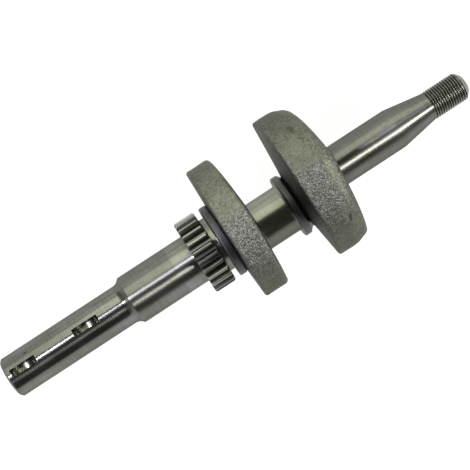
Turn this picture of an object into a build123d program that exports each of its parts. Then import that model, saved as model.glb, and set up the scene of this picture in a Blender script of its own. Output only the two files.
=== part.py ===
from build123d import *
from math import acos, atan, cos, degrees, pi, radians, sin, sqrt, tan
import os

# Crankshaft of a small single-cylinder engine: one steel forging with two
# counterweighted webs and an overhung output stub, a pressed-on timing gear
# and the gear's key.
#
# Frame: X along the main bearings, +X towards the flywheel end, +Z towards
# the counterweights (the crankpin is at -Z), origin on the main axis at the
# middle of the output side's main journal. Millimetres.

os.makedirs("parts", exist_ok=True)

# ------------------------------------------------------------ driving dimensions
# Output stub, with its two Woodruff key seats
stub_diameter = 22.225
stub_length = 68.4
stub_chamfer = 0.8
key_seat_width = 3.969
key_seat_cutter_diameter = 15.875
key_seat_depth = 4.8
key_seat_end_distance = 10.2
key_seat_spacing = 37.0

# Tapped hole in the output end, and its 60 degree centre
end_hole_diameter = 8.5
end_hole_depth = 28.0
end_hole_cone_diameter = 11.0

# Output side's main journal, its concave shoulder and the gear's seat
output_journal_diameter = 26.9
output_journal_length = 38.8
shoulder_radius = 5.2
journal_chamfer = 0.5
gear_seat_diameter = 27.4
ring_diameter = 30.6
ring_length = 3.0
collar_diameter = 40.6
collar_length = 4.24
collar_round = 0.7

# Crankpin, and the ground boss at each end of it
throw = 25.4
crankpin_diameter = 27.5
crankpin_length = 20.0
crankpin_fillet = 1.8
boss_diameter = 36.0
boss_land = 3.7
boss_slope_length = 1.9
boss_round = 1.0
output_boss_height = 1.74
flywheel_boss_height = 5.12

# Output side's web and counterweight
output_web_thickness = 15.52
output_web_radius = 39.46
output_shoulder_angle = 75.2
output_rim_outer_round = 1.5
output_rim_inner_round = 2.9
output_web_outer_draft = 0.6
output_web_inner_draft = 1.9

# Flywheel side's web and counterweight
flywheel_web_thickness = 22.18
flywheel_web_radius = 42.18
flywheel_shoulder_angle = 76.3
flywheel_rim_inner_round = 1.4
flywheel_rim_outer_round = 2.8
flywheel_web_outer_draft = 3.8
flywheel_web_inner_draft = 0.2
rim_land = 13.07
rim_bevel_run = 6.2
rim_bevel_drop = 2.6

# Both webs: straight flanks from the counterweight's shoulders to the waist,
# then a neck down to a round lobe about the crankpin
flank_angle = 43.6
waist_half_width = 16.0
neck_half_width = 12.0
shoulder_round = 2.5
waist_round = 4.0
lobe_diameter = 31.6
lobe_tip_diameter = 26.0
lobe_tip_round = 3.0

# Flywheel side's journal, taper, keyway and thread
flywheel_journal_diameter = 22.225
flywheel_journal_length = 37.2
thrust_boss_diameter = 32.0
thrust_boss_height = 1.8
taper_ratio = 1 / 3
taper_small_diameter = 15.3
taper_keyway_width = 4.763
taper_keyway_depth = 2.2
taper_keyway_length = 15.0
neck_length = 1.1
thread_diameter = 15.875
thread_pitch = 1.411
thread_length = 18.5
tip_chamfer = 3.0
centre_hole_diameter = 3.2
centre_hole_depth = 6.5
centre_cone_diameter = 6.6

# Timing gear and its key
gear_teeth = 24
gear_module = 1.5875
gear_pressure_angle = 20.0
gear_width = 12.0
gear_end_chamfer = 0.8
gear_tooth_thinning = 0.08
gear_tooth_phase = 4.0
gear_root_fillet = 0.45
gear_fit_clearance = 0.01
timing_mark_diameter = 2.2
timing_mark_depth = 0.8
gear_key_share = 0.4717
gear_key_length = 9.5
gear_key_clearance = 0.01
gear_keyway_headroom = 0.2

# ------------------------------------------------------------ worked-out sizes
stub_radius = stub_diameter / 2
output_journal_radius = output_journal_diameter / 2
gear_seat_radius = gear_seat_diameter / 2
crankpin_radius = crankpin_diameter / 2
boss_radius = boss_diameter / 2
lobe_radius = lobe_diameter / 2
flywheel_journal_radius = flywheel_journal_diameter / 2
taper_length = (flywheel_journal_diameter - taper_small_diameter) / taper_ratio
taper_half_angle = degrees(atan(taper_ratio / 2))
thread_radius = thread_diameter / 2
thread_depth = 0.6134 * thread_pitch
thread_core_radius = thread_radius - thread_depth
pitch_radius = gear_teeth * gear_module / 2
tip_radius = pitch_radius + gear_module
root_radius = pitch_radius - 1.25 * gear_module
base_radius = pitch_radius * cos(radians(gear_pressure_angle))
gear_key_size = 2 * gear_key_share * (root_radius - gear_seat_radius)

# Stations along X, from the output end to the flywheel end
x_journal = -output_journal_length / 2
shoulder_rise = output_journal_radius - journal_chamfer - stub_radius
shoulder_run = sqrt(shoulder_rise * (2 * shoulder_radius - shoulder_rise))
x_shoulder = x_journal - journal_chamfer - shoulder_run
x_stub_end = x_shoulder - stub_length
x_gear = output_journal_length / 2
x_ring = x_gear + gear_width
x_collar = x_ring + ring_length
x_output_web = x_collar + collar_length
x_output_cheek = x_output_web + output_web_thickness
x_pin = x_output_cheek + output_boss_height
x_pin_end = x_pin + crankpin_length
x_flywheel_cheek = x_pin_end + flywheel_boss_height
x_flywheel_web = x_flywheel_cheek + flywheel_web_thickness
x_flywheel_journal = x_flywheel_web + thrust_boss_height
x_taper = x_flywheel_journal + flywheel_journal_length
x_neck = x_taper + taper_length
x_thread = x_neck + neck_length
x_thread_end = x_thread + thread_length
x_tip = x_thread_end + tip_chamfer
x_key_seat = x_stub_end + key_seat_end_distance

pin_plane = Plane(origin=(0, 0, -throw), x_dir=(1, 0, 0), z_dir=(0, -1, 0))
pin_axis = Axis((0, 0, -throw), (1, 0, 0))


def corner(sketch, x, y):
    """The sketch's corner nearest to a point of its own plane."""
    return sketch.vertices().sort_by_distance((x, y))[0]


# ------------------------------------------------------------ crankshaft: turned output side
with BuildPart() as output_side:
    with BuildSketch(Plane.XZ) as output_profile:
        with BuildLine():
            TangentArc(
                (x_shoulder, stub_radius),
                (x_journal - journal_chamfer, output_journal_radius - journal_chamfer),
                tangent=(1, 0),
            )
            Polyline(
                (x_journal - journal_chamfer, output_journal_radius - journal_chamfer),
                (x_journal, output_journal_radius),
                (x_gear, output_journal_radius),
                (x_gear + gear_seat_radius - output_journal_radius, gear_seat_radius),
                (x_ring, gear_seat_radius),
                (x_ring, ring_diameter / 2),
                (x_collar, ring_diameter / 2),
                (x_collar, collar_diameter / 2),
                (x_output_web + output_web_thickness / 2, collar_diameter / 2),
                (x_output_web + output_web_thickness / 2, 0),
                (x_stub_end, 0),
                (x_stub_end, stub_radius),
                (x_shoulder, stub_radius),
            )
        make_face()
        chamfer(corner(output_profile, x_stub_end, stub_radius), stub_chamfer)
        fillet(corner(output_profile, x_collar, collar_diameter / 2), collar_round)
    revolve(axis=Axis.X)

    # Woodruff key seats, sunk by a disc cutter whose axis lies across the stub
    cutter_height = stub_radius + key_seat_cutter_diameter / 2 - key_seat_depth
    with BuildSketch(Plane.XZ.offset(-key_seat_width / 2)):
        with Locations(
            (x_key_seat, cutter_height),
            (x_key_seat + key_seat_spacing, cutter_height),
        ):
            Circle(key_seat_cutter_diameter / 2)
    extrude(amount=key_seat_width, mode=Mode.SUBTRACT)

    # Tapped hole with a 60 degree centre at its mouth
    end_cone_depth = (end_hole_cone_diameter - end_hole_diameter) / 2 / tan(radians(30))
    with BuildSketch(Plane.XZ):
        with BuildLine():
            Polyline(
                (x_stub_end, 0),
                (x_stub_end, end_hole_cone_diameter / 2),
                (x_stub_end + end_cone_depth, end_hole_diameter / 2),
                (x_stub_end + end_hole_depth, end_hole_diameter / 2),
                (x_stub_end + end_hole_depth + end_hole_diameter / 2 * tan(radians(31)), 0),
                close=True,
            )
        make_face()
    revolve(axis=Axis.X, mode=Mode.SUBTRACT)

    # Pocket for the timing gear's key, on the crankpin's side of the seat
    key_x = x_gear + gear_width / 2
    with Locations((key_x, 0, -gear_seat_radius)):
        Box(
            gear_key_length + 2 * gear_key_clearance,
            gear_key_size + 2 * gear_key_clearance,
            gear_key_size + 2 * gear_key_clearance,
            mode=Mode.SUBTRACT,
        )


# ------------------------------------------------------------ crankshaft: webs
def web_outline(rim_radius, shoulder_angle):
    """Fan from the counterweight's rim to the crankpin's lobe, in the Y-Z plane."""
    shoulder_y = rim_radius * sin(radians(shoulder_angle))
    shoulder_z = rim_radius * cos(radians(shoulder_angle))
    waist_z = shoulder_z - (shoulder_y - waist_half_width) * tan(radians(flank_angle))
    with BuildSketch() as outline:
        with BuildLine():
            ThreePointArc((shoulder_y, shoulder_z), (0, rim_radius), (-shoulder_y, shoulder_z))
            Polyline(
                (-shoulder_y, shoulder_z),
                (-waist_half_width, waist_z),
                (-neck_half_width, -throw),
                (neck_half_width, -throw),
                (waist_half_width, waist_z),
                (shoulder_y, shoulder_z),
            )
        make_face()
        fillet([corner(outline, side * shoulder_y, shoulder_z) for side in (-1, 1)], shoulder_round)
        fillet([corner(outline, side * waist_half_width, waist_z) for side in (-1, 1)], waist_round)
    return outline.sketch


def drafted_plan(x_low, x_high, draft_low, draft_high, half_width):
    """Web seen from above: thickest at the parting plane and drafted to both sides."""
    low_step = half_width * tan(radians(draft_low))
    high_step = half_width * tan(radians(draft_high))
    with BuildSketch() as plan:
        with BuildLine():
            Polyline(
                (x_low, 0),
                (x_low + low_step, half_width),
                (x_high - high_step, half_width),
                (x_high, 0),
                (x_high - high_step, -half_width),
                (x_low + low_step, -half_width),
                close=True,
            )
        make_face()
    return plan.sketch


with BuildPart() as output_web:
    with BuildSketch(Plane.YZ.offset(x_output_web)):
        add(web_outline(output_web_radius, output_shoulder_angle))
    extrude(amount=output_web_thickness)
    with BuildSketch(Plane.XZ) as output_rim:
        with Locations((x_output_web, 0)):
            Rectangle(output_web_thickness, output_web_radius, align=(Align.MIN, Align.MIN))
        fillet(corner(output_rim, x_output_web, output_web_radius), output_rim_outer_round)
        fillet(corner(output_rim, x_output_cheek, output_web_radius), output_rim_inner_round)
    revolve(axis=Axis.X, mode=Mode.INTERSECT)
    with BuildSketch(pin_plane) as output_lobe:
        with BuildLine():
            Polyline(
                (x_output_web, 0),
                (x_output_web, lobe_tip_diameter / 2),
                (x_output_cheek, lobe_radius),
                (x_output_cheek, 0),
                close=True,
            )
        make_face()
        fillet(corner(output_lobe, x_output_web, lobe_tip_diameter / 2), lobe_tip_round)
    revolve(axis=pin_axis)
    with BuildSketch(Plane.XY):
        add(
            drafted_plan(
                x_output_web,
                x_output_cheek,
                output_web_outer_draft,
                output_web_inner_draft,
                output_web_radius,
            )
        )
    extrude(amount=2 * output_web_radius, both=True, mode=Mode.INTERSECT)

with BuildPart() as flywheel_web:
    with BuildSketch(Plane.YZ.offset(x_flywheel_cheek)):
        add(web_outline(flywheel_web_radius, flywheel_shoulder_angle))
    extrude(amount=flywheel_web_thickness)
    x_bevel = x_flywheel_cheek + rim_land
    small_rim_radius = flywheel_web_radius - rim_bevel_drop
    with BuildSketch(Plane.XZ) as flywheel_rim:
        with BuildLine():
            Polyline(
                (x_flywheel_cheek, 0),
                (x_flywheel_cheek, flywheel_web_radius),
                (x_bevel, flywheel_web_radius),
                (x_bevel + rim_bevel_run, small_rim_radius),
                (x_flywheel_web, small_rim_radius),
                (x_flywheel_web, 0),
                close=True,
            )
        make_face()
        fillet(corner(flywheel_rim, x_flywheel_cheek, flywheel_web_radius), flywheel_rim_inner_round)
        fillet(corner(flywheel_rim, x_flywheel_web, small_rim_radius), flywheel_rim_outer_round)
    revolve(axis=Axis.X, mode=Mode.INTERSECT)
    with BuildSketch(pin_plane) as flywheel_lobe:
        with BuildLine():
            Polyline(
                (x_flywheel_cheek, 0),
                (x_flywheel_cheek, lobe_radius),
                (x_flywheel_web, lobe_tip_diameter / 2),
                (x_flywheel_web, 0),
                close=True,
            )
        make_face()
        fillet(corner(flywheel_lobe, x_flywheel_web, lobe_tip_diameter / 2), lobe_tip_round)
    revolve(axis=pin_axis)
    with BuildSketch(Plane.XY):
        add(
            drafted_plan(
                x_flywheel_cheek,
                x_flywheel_web,
                flywheel_web_inner_draft,
                flywheel_web_outer_draft,
                flywheel_web_radius,
            )
        )
    extrude(amount=2 * flywheel_web_radius, both=True, mode=Mode.INTERSECT)


# ------------------------------------------------------------ crankshaft: crankpin and its bosses
with BuildPart() as crankpin:
    with BuildSketch(pin_plane) as pin_profile:
        with BuildLine():
            Polyline(
                (x_pin - boss_land - boss_slope_length, 0),
                (x_pin - boss_land - boss_slope_length, lobe_radius),
                (x_pin - boss_land, boss_radius),
                (x_pin, boss_radius),
                (x_pin, crankpin_radius),
                (x_pin_end, crankpin_radius),
                (x_pin_end, boss_radius),
                (x_pin_end + boss_land, boss_radius),
                (x_pin_end + boss_land + boss_slope_length, lobe_radius),
                (x_pin_end + boss_land + boss_slope_length, 0),
                close=True,
            )
        make_face()
        fillet([corner(pin_profile, x, boss_radius) for x in (x_pin, x_pin_end)], boss_round)
        fillet([corner(pin_profile, x, crankpin_radius) for x in (x_pin, x_pin_end)], crankpin_fillet)
    revolve(axis=pin_axis)


# ------------------------------------------------------------ crankshaft: turned flywheel side
with BuildPart() as flywheel_side:
    with BuildSketch(Plane.XZ):
        with BuildLine():
            Polyline(
                (x_flywheel_cheek + flywheel_web_thickness / 2, 0),
                (x_flywheel_cheek + flywheel_web_thickness / 2, thrust_boss_diameter / 2),
                (x_flywheel_journal, thrust_boss_diameter / 2),
                (x_flywheel_journal, flywheel_journal_radius),
                (x_taper, flywheel_journal_radius),
                (x_neck, taper_small_diameter / 2),
                (x_thread, taper_small_diameter / 2),
                (x_thread, thread_core_radius),
                (x_thread_end + thread_depth, thread_core_radius),
                (x_tip, thread_radius - tip_chamfer),
                (x_tip, 0),
                close=True,
            )
        make_face()
    revolve(axis=Axis.X)

    # Keyway in the taper, milled parallel to its surface on the crankpin's side
    keyway_plane = Plane(
        origin=(x_neck, 0, -taper_small_diameter / 2),
        x_dir=(-cos(radians(taper_half_angle)), 0, -sin(radians(taper_half_angle))),
        z_dir=(sin(radians(taper_half_angle)), 0, -cos(radians(taper_half_angle))),
    )
    keyway_straight = taper_keyway_length - taper_keyway_width / 2
    with BuildSketch(keyway_plane.offset(-taper_keyway_depth)):
        with Locations((-neck_length, 0)):
            Rectangle(
                keyway_straight + neck_length,
                taper_keyway_width,
                align=(Align.MIN, Align.CENTER),
            )
        with Locations((keyway_straight, 0)):
            Circle(taper_keyway_width / 2)
    extrude(amount=2 * taper_keyway_depth, mode=Mode.SUBTRACT)

    # Centre-drilled hole that the shaft was turned and ground on
    centre_cone_depth = (centre_cone_diameter - centre_hole_diameter) / 2 / tan(radians(30))
    with BuildSketch(Plane.XZ):
        with BuildLine():
            Polyline(
                (x_tip, 0),
                (x_tip, centre_cone_diameter / 2),
                (x_tip - centre_cone_depth, centre_hole_diameter / 2),
                (x_tip - centre_hole_depth, centre_hole_diameter / 2),
                (x_tip - centre_hole_depth - centre_hole_diameter / 2 * tan(radians(31)), 0),
                close=True,
            )
        make_face()
    revolve(axis=Axis.X, mode=Mode.SUBTRACT)

# The thread: a flat-topped V ridge carried along a helix, its foot sunk in the core
with BuildPart() as thread_ridge:
    with BuildLine() as ridge_path:
        Helix(
            thread_pitch,
            thread_length - 2 * thread_pitch,
            thread_core_radius,
            center=(x_thread + thread_pitch, 0, 0),
            direction=(1, 0, 0),
        )
    ridge_start = ridge_path.line @ 0
    foot_sink = thread_pitch / 14
    half_crest = thread_pitch / 16
    half_foot = half_crest + (thread_depth + foot_sink) * tan(radians(30))
    with BuildSketch(
        Plane(
            origin=ridge_start,
            x_dir=(0, ridge_start.Y, ridge_start.Z),
            z_dir=ridge_path.line % 0,
        )
    ):
        with BuildLine():
            Polyline(
                (-foot_sink, -half_foot),
                (thread_depth, -half_crest),
                (thread_depth, half_crest),
                (-foot_sink, half_foot),
                close=True,
            )
        make_face()
    sweep(path=ridge_path.line, is_frenet=True)


# ------------------------------------------------------------ crankshaft: the whole forging
with BuildPart() as crankshaft:
    add(output_side.part)
    add(output_web.part)
    add(crankpin.part)
    add(flywheel_web.part)
    add(flywheel_side.part)
    add(thread_ridge.part)

crankshaft.part.label = "crankshaft"
export_step(crankshaft.part, "parts/crankshaft.step")


# ------------------------------------------------------------ timing gear
def tooth_half_angle(radius):
    """Half the tooth's width as an angle: an involute of the base circle."""
    pressure = acos(min(1, base_radius / radius))
    at_pitch = (pi * gear_module / 2 - gear_tooth_thinning) / (2 * pitch_radius)
    involute_at_pitch = tan(radians(gear_pressure_angle)) - radians(gear_pressure_angle)
    return at_pitch + involute_at_pitch - (tan(pressure) - pressure)


def flank_point(radius, side):
    angle = side * tooth_half_angle(radius)
    return (radius * cos(angle), radius * sin(angle))


with BuildSketch() as tooth:
    flank_steps = 6
    flank_radii = [
        base_radius + (tip_radius - base_radius) * step / flank_steps for step in range(flank_steps + 1)
    ]
    foot_angle = tooth_half_angle(base_radius)
    foot_radius = root_radius - gear_module / 4
    foot = (foot_radius * cos(foot_angle), foot_radius * sin(foot_angle))
    with BuildLine():
        Spline(*[flank_point(radius, 1) for radius in flank_radii])
        Spline(*[flank_point(radius, -1) for radius in flank_radii])
        ThreePointArc(flank_point(tip_radius, 1), (tip_radius, 0), flank_point(tip_radius, -1))
        Polyline(
            flank_point(base_radius, 1),
            foot,
            (foot[0], -foot[1]),
            flank_point(base_radius, -1),
        )
    make_face()

with BuildPart() as timing_gear:
    with BuildSketch(Plane.YZ.offset(x_gear)) as gear_profile:
        Circle(root_radius)
        with PolarLocations(0, gear_teeth, start_angle=gear_tooth_phase):
            add(tooth.sketch)
        root_corners = gear_profile.vertices().filter_by(
            lambda vertex: abs(sqrt(vertex.X**2 + vertex.Y**2) - root_radius) < gear_module / 100
        )
        fillet(root_corners, gear_root_fillet)
    extrude(amount=gear_width)
    with BuildSketch(Plane.XZ) as gear_blank:
        with Locations((x_gear, 0)):
            Rectangle(gear_width, tip_radius, align=(Align.MIN, Align.MIN))
        chamfer([corner(gear_blank, x, tip_radius) for x in (x_gear, x_ring)], gear_end_chamfer)
    revolve(axis=Axis.X, mode=Mode.INTERSECT)
    with BuildSketch(Plane.YZ.offset(x_gear)):
        Circle(gear_seat_radius + gear_fit_clearance)
        with Locations((0, -gear_seat_radius)):
            Rectangle(
                gear_key_size + 2 * gear_key_clearance,
                gear_key_size + 2 * gear_keyway_headroom,
            )
    extrude(amount=gear_width, mode=Mode.SUBTRACT)

    # Punched timing mark at a tooth's root on the outer face
    mark_radius = (root_radius + gear_seat_radius) / 2
    mark_angle = radians(gear_tooth_phase + 90)
    with Locations(
        Plane(
            origin=(x_gear, mark_radius * cos(mark_angle), mark_radius * sin(mark_angle)),
            z_dir=(1, 0, 0),
        )
    ):
        Cone(
            timing_mark_diameter / 2,
            0,
            timing_mark_depth,
            align=(Align.CENTER, Align.CENTER, Align.MIN),
            mode=Mode.SUBTRACT,
        )

timing_gear.part.label = "timing_gear"
export_step(timing_gear.part, "parts/timing_gear.step")


# ------------------------------------------------------------ timing gear's key
with BuildPart() as timing_gear_key:
    with Locations((key_x, 0, -gear_seat_radius)):
        Box(gear_key_length, gear_key_size, gear_key_size)

timing_gear_key.part.label = "timing_gear_key"
export_step(timing_gear_key.part, "parts/timing_gear_key.step")
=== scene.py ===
from math import cos, pi, radians, sin, tan

import bmesh
import bpy
import numpy as np
from mathutils import Matrix, Vector


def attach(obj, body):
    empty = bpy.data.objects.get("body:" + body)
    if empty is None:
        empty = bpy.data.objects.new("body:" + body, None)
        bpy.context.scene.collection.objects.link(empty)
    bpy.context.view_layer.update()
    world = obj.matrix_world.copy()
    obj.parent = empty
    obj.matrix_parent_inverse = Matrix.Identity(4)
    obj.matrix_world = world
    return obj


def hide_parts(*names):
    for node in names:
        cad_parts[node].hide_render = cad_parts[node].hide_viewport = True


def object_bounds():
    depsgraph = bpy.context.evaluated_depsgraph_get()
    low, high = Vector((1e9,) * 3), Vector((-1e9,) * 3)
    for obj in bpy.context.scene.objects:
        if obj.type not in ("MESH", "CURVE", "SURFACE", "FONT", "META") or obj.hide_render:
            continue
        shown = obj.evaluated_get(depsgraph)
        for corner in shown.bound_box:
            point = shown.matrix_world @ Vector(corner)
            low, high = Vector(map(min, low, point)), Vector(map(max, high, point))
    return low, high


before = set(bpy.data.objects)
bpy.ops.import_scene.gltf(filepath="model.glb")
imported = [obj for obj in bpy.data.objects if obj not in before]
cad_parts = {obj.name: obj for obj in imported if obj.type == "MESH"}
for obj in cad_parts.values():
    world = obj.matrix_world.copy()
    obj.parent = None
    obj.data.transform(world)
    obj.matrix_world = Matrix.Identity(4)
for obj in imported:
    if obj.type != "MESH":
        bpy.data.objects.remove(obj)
cad_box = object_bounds()

# ---- Output stub and main journal
# The output half of the steel forging, turned and then ground between centres: a stub with two
# Woodruff key seats and a tapped end, a concave shoulder, the main journal, the gear's seat, and
# the ring and collar beside the web. Sizes are millimetres; the materials' nodes read metres.
x_stub_end, x_shoulder, x_journal, x_gear = -92.2666, -23.8666, -19.4, 19.4
x_ring, x_collar, x_output_web = 31.4, 34.4, 38.64
stub_radius, journal_radius, gear_seat_radius, ring_radius, collar_radius = 11.1125, 13.45, 13.7, 15.3, 20.3
stub_chamfer, shoulder_radius, shoulder_sweep = 1.0, 5.2, radians(49.7)
hole_minor, hole_pitch, hole_depth, hole_thread = 4.25, 1.058, 28.0, 0.5
drill_point, countersink_radius, countersink_depth = 2.5, 5.5, 2.17
seat_half_width, seat_cutter_radius, seat_depth = 1.984, 7.9375, 4.8
seat_centres = np.array([-82.0666, -45.0666])
broken_edge, overlap = 0.14, 4.0


def eased(corners, steps=5):
    """A profile through corners (x, r, ease): each corner becomes the parabola that leaves the line before
    it one ease away and meets the line after it one ease away."""
    corners = np.array(corners, float)
    points, ease = corners[:, :2], corners[:, 2:]
    inward = np.diff(points, axis=0)
    inward /= np.linalg.norm(inward, axis=1, keepdims=True)
    start = points.copy()
    end = points.copy()
    start[1:] -= ease[1:] * inward
    end[:-1] += ease[:-1] * inward
    t = np.linspace(0, 1, steps)[None, :, None]
    bends = (1 - t) ** 2 * start[:, None] + 2 * t * (1 - t) * points[:, None] + t**2 * end[:, None]
    path = bends.reshape(-1, 2)
    keep = np.r_[True, np.linalg.norm(np.diff(path, axis=0), axis=1) > 1e-6]
    return path[keep]


def divided(path, longest):
    """The same profile with every run cut into equal parts no longer than the given length."""
    runs = np.linalg.norm(np.diff(path, axis=0), axis=1)
    counts = np.maximum(1, np.ceil(runs / longest)).astype(int)
    run = np.repeat(np.arange(len(counts)), counts)
    part = (np.arange(counts.sum()) - np.repeat(np.cumsum(counts) - counts, counts)) / counts[run]
    inner = path[run] + part[:, None] * (path[run + 1] - path[run])
    return np.vstack([inner, path[-1:]])


def slot_columns(r, half_width, facing, around=120, across=9):
    """Angles for each ring of radius r. Two pairs of columns keep a slot's half width from the plane of the
    throw, where arcsin(half width / r) puts them; the rest share the remaining arc evenly. Also says how
    much of the slot's depth each column takes: 1 on its floor, 0 outside, and -1 on its wall's broken
    edge."""
    edge = np.arcsin(np.clip(half_width / np.maximum(r, 1e-6), 0, 0.95))[:, None]
    lip = edge * 1.06
    floor = np.linspace(-1, 1, across)[None, :] * edge
    rest = lip + (2 * pi - 2 * lip) * np.linspace(0, 1, around)[None, :]
    angles = np.hstack([floor, edge, rest, 2 * pi - edge]) + facing
    share = np.r_[np.ones(across), -1, np.zeros(around), -1]
    return angles, share


def turned(x, r, angles, axis_z=0.0):
    """Surface of revolution: each profile point (x, r) is carried round the X axis through the given angles,
    so y = r sin(angle) and z = axis height + r cos(angle)."""
    x = np.broadcast_to(np.reshape(x, (len(x), -1)), angles.shape)
    return np.stack([x, r * np.sin(angles), axis_z + r * np.cos(angles)], -1)


def skin(name, rings, closed=False, crease=32):
    """Mesh over a grid of points: ring i is joined to ring i + 1, and each ring's last point to its first.
    Rings that shrink to a point close the ends, or closed joins the last ring to the first. Edges that turn
    by more than the crease's degrees are shaded sharp."""
    rows, columns = rings.shape[:2]
    i = np.arange(rows if closed else rows - 1)[:, None]
    j = np.arange(columns)[None, :]
    after, beside = (i + 1) % rows, (j + 1) % columns
    quads = np.stack(
        [i * columns + j, after * columns + j, after * columns + beside, i * columns + beside], -1
    )
    mesh = bpy.data.meshes.new(name)
    mesh.from_pydata((rings.reshape(-1, 3) * 0.001).tolist(), [], quads.reshape(-1, 4).tolist())
    shell = bmesh.new()
    shell.from_mesh(mesh)
    bmesh.ops.remove_doubles(shell, verts=shell.verts, dist=2e-7)
    bmesh.ops.recalc_face_normals(shell, faces=shell.faces)
    shell.to_mesh(mesh)
    shell.free()
    mesh.shade_smooth()
    mesh.set_sharp_from_angle(angle=radians(crease))
    piece = bpy.data.objects.new(name, mesh)
    bpy.context.collection.objects.link(piece)
    return piece


hole = divided(
    eased(
        [
            (x_stub_end + hole_depth + drill_point, 0, 0),
            (x_stub_end + hole_depth, hole_minor, 0.1),
            (x_stub_end + countersink_depth, hole_minor, 0.1),
            (x_stub_end, countersink_radius, 0.15),
            (x_stub_end, stub_radius - stub_chamfer, 0.15),
        ]
    ),
    hole_pitch / 6,
)

# Rows along the stub are 0.2 mm apart in each key seat and 0.05 mm apart where its floor runs out
across_seat = np.r_[np.linspace(-7.4, -7.2, 5), np.linspace(-7.2, 7.2, 73), np.linspace(7.2, 7.4, 5)]
stub_x = np.linspace(x_stub_end + stub_chamfer + 0.1, x_shoulder, 40)
stub_x = np.unique(np.r_[stub_x, (seat_centres[:, None] + across_seat).ravel()])
stub = np.stack([stub_x, np.full_like(stub_x, stub_radius)], -1)
bend = np.linspace(0, shoulder_sweep, 14)[1:]
shoulder_x = x_shoulder + shoulder_radius * np.sin(bend)
shoulder_r = stub_radius + shoulder_radius * (1 - np.cos(bend))
shoulder = np.stack([shoulder_x, shoulder_r], -1)
lands = divided(
    eased(
        [
            (shoulder_x[-1], shoulder_r[-1], 0),
            (x_journal, journal_radius, 0.3),
            (x_gear, journal_radius, 0.2),
            (x_gear + 0.25, gear_seat_radius, 0.1),
            (x_ring, gear_seat_radius, 0.15),
            (x_ring, ring_radius, 0.4),
            (x_collar, ring_radius, 0.5),
            (x_collar, collar_radius, 0.9),
            (x_output_web - 0.35, collar_radius, 0.35),
            (x_output_web - 0.1, collar_radius - 0.6, 0.2),
            (x_output_web + overlap, collar_radius - 0.6, 0),
            (x_output_web + overlap, 0, 0),
        ]
    ),
    2.0,
)
profile = np.vstack([hole, stub, shoulder, lands])
profile_x, profile_r = profile[:, :1], profile[:, 1:]
angles, share = slot_columns(profile[:, 1], seat_half_width, 0.0)
row = np.arange(len(profile))[:, None]

# The tapped hole's thread is a cosine wave along the helix: its phase is x over the pitch less the turn
threaded = (profile_x > x_stub_end + 1.6) & (profile_x < x_stub_end + hole_depth - 1)
threaded &= (profile_r < 5.2) & (row < len(hole))
wave = 0.5 + 0.5 * np.cos(2 * pi * (profile_x / hole_pitch - angles / (2 * pi)))
rings = turned(profile_x, profile_r + np.where(threaded, hole_thread * wave, 0), angles)

# Each key seat is a bite of the disc cutter: floor height is the cutter's centre less the half chord at x
on_stub = (row >= len(hole)) & (row < len(hole) + len(stub))
nearest = np.min(np.abs(profile_x - seat_centres), axis=1, keepdims=True)
chord = np.sqrt(np.maximum(seat_cutter_radius**2 - nearest**2, 0))
floor_height = stub_radius + seat_cutter_radius - seat_depth - chord
deep = np.maximum(rings[..., 2] - floor_height, 0)
deep *= (nearest < seat_cutter_radius) & on_stub & (share != 0)
rings[..., 2] -= np.where(share < 0, np.minimum(deep, broken_edge), deep)
output_shaft = skin("output_shaft", rings)


def linear(hex_colour):
    """sRGB hex to linear: each channel over 255, then the sRGB curve undone."""
    value = np.array([int(hex_colour[k : k + 2], 16) for k in (1, 3, 5)]) / 255
    value = np.where(value <= 0.04045, value / 12.92, ((value + 0.055) / 1.055) ** 2.4)
    return (*value.tolist(), 1.0)


def add_node(tree, kind, links=(), stops=(), **settings):
    """A node of one kind: settings are its own properties, links its inputs by name or number, each a value
    or another node's output, and stops a ramp's rising positions, each with a hex colour or a grey."""
    node = tree.nodes.new(kind)
    for name, value in settings.items():
        setattr(node, name, value)
    for name, value in dict(links).items():
        if isinstance(value, bpy.types.NodeSocket):
            tree.links.new(value, node.inputs[name])
        else:
            node.inputs[name].default_value = value
    for position, _ in stops[1:-1]:
        node.color_ramp.elements.new(position)
    for stop, (position, tint) in zip(node.color_ramp.elements if stops else (), stops):
        stop.position = position
        stop.color = linear(tint) if isinstance(tint, str) else (tint, tint, tint, 1.0)
    return node


def new_material(name):
    """An empty node material with its output; returns (material, tree, output)."""
    material = bpy.data.materials.new(name)
    material.use_nodes = True
    tree = material.node_tree
    tree.nodes.clear()
    return material, tree, add_node(tree, "ShaderNodeOutputMaterial")


def marked(tree, shade, place, marks, along=1.0, core=0.2):
    """Small dark marks (x, y, z, reach, depth): each multiplies the shade by 1 less its depth out to the
    core's share of its reach, and by a straight rise to 1 from there to its reach. The place that they are
    measured in has its x multiplied by along."""
    for x, y, z, reach, depth in marks:
        away = add_node(
            tree,
            "ShaderNodeVectorMath",
            {0: place, 1: (along * x / 1000, y / 1000, z / 1000)},
            operation="DISTANCE",
        )
        mark = add_node(
            tree,
            "ShaderNodeMapRange",
            {
                "Value": away.outputs["Value"],
                "From Min": core * reach / 1000,
                "From Max": reach / 1000,
                "To Min": 1 - depth,
            },
        )
        shade = add_node(
            tree, "ShaderNodeMath", {0: shade, 1: mark.outputs[0]}, operation="MULTIPLY"
        ).outputs[0]
    return shade


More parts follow.
